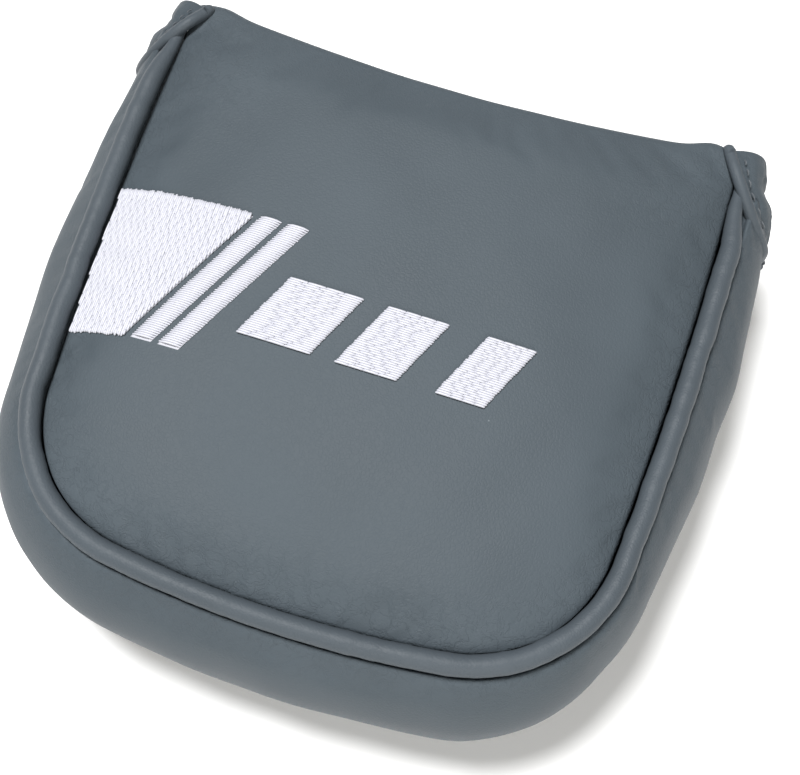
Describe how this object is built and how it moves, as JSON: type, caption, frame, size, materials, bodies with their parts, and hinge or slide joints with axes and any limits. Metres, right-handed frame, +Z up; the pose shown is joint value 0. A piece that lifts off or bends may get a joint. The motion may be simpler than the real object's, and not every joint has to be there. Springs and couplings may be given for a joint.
{
  "type": "putter head cover",
  "caption": "Slip-on padded cover for a mallet putter head, with piped edges and an elastic mouth.",
  "frame": {"origin": "centre of the cover's footprint, on the surface that its back lies on", "axes": "+Z up from the back panel to the front panel, +Y towards the mouth, +X across the cover to the right as seen from the front"},
  "size_m": [0.1328, 0.1223, 0.0519],
  "materials": {
    "grey_leather": "satin coated, fine grain",
    "piping_leather": "satin coated, stretched smooth",
    "facing_leather": "satin coated, fine grain",
    "foam": "open-cell foam, matte",
    "plush_lining": "short plush pile",
    "piping_cord": "twisted cotton filler cord",
    "grey_thread": "bonded polyester thread",
    "elastic": "woven elastic, matte",
    "white_thread": "rayon embroidery thread, soft sheen"
  },
  "bodies": {
    "pouch": {"back_cover": "grey_leather", "back_foam": "foam", "back_lining": "plush_lining", "back_mouth_facing": "facing_leather", "back_piping": "piping_leather", "back_piping_cord": "piping_cord", "back_seam_thread": "grey_thread", "gusset_cover": "grey_leather", "gusset_foam": "foam", "gusset_lining": "plush_lining", "front_cover": "grey_leather", "front_foam": "foam", "front_lining": "plush_lining", "front_piping": "piping_leather", "front_piping_cord": "piping_cord", "front_seam_thread": "grey_thread", "left_gore": "grey_leather", "right_gore": "grey_leather", "left_gore_elastic": "elastic", "right_gore_elastic": "elastic", "left_gore_stitching": "grey_thread", "right_gore_stitching": "grey_thread", "embroidered_block": "white_thread", "embroidered_bars": "white_thread"},
    "front_lip": {"front_lip_cover": "grey_leather", "front_lip_foam": "foam", "front_lip_lining": "plush_lining", "front_mouth_facing": "facing_leather", "front_lip_piping": "piping_leather", "front_lip_piping_cord": "piping_cord", "front_lip_seam_thread": "grey_thread"}
  },
  "joints": [
    {"name": "mouth_opening", "type": "hinge", "parent": "pouch", "child": "front_lip", "pos_m": [0, 0.0293, 0.0516], "axis": [1, 0, 0], "range_deg": [0, 25], "stiffness_Nm_per_rad": 0.06, "springref_deg": -8.59, "deforming": ["left_gore", "right_gore", "left_gore_elastic", "right_gore_elastic"]}
  ]
}
